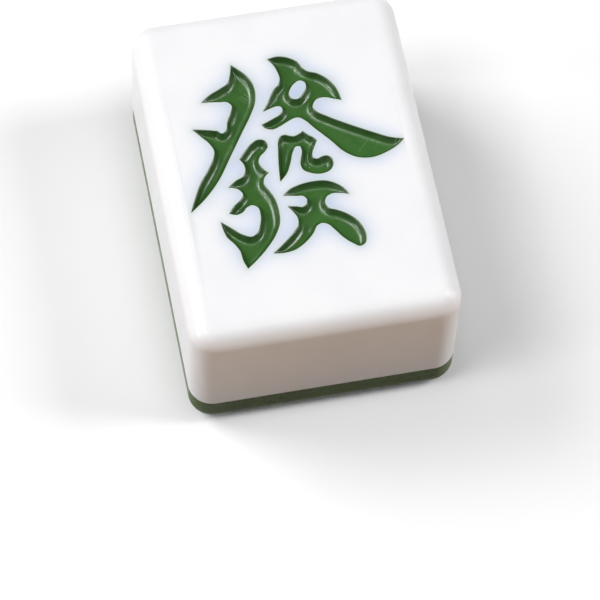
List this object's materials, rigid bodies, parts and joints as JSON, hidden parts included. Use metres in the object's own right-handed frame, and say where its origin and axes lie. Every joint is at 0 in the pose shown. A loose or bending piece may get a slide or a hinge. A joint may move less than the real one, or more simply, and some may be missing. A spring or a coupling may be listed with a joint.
{
  "type": "mahjong tile",
  "caption": "Two-tone game tile: an engraved white block with rolled edges, its pockets lined with green enamel, cemented to a green back slab.",
  "frame": {"origin": "middle of the tile's back, on the surface it lies on", "axes": "+X across the face to the reader's right, +Y up the sign from foot to head, +Z out of the face"},
  "size_m": [0.031, 0.0426, 0.02],
  "materials": {
    "white_melamine": "polished white melamine, faintly cloudy",
    "green_melamine": "polished dark olive-green melamine",
    "cement": "cured cement",
    "green_enamel": "glossy brushed-in enamel"
  },
  "bodies": {
    "root": {"face_block": "white_melamine", "back_slab": "green_melamine", "bond_film": "cement", "enamel_left_foot": "green_enamel", "enamel_right_foot": "green_enamel", "enamel_bow": "green_enamel", "enamel_stool": "green_enamel", "enamel_hand": "green_enamel"}
  },
  "joints": []
}
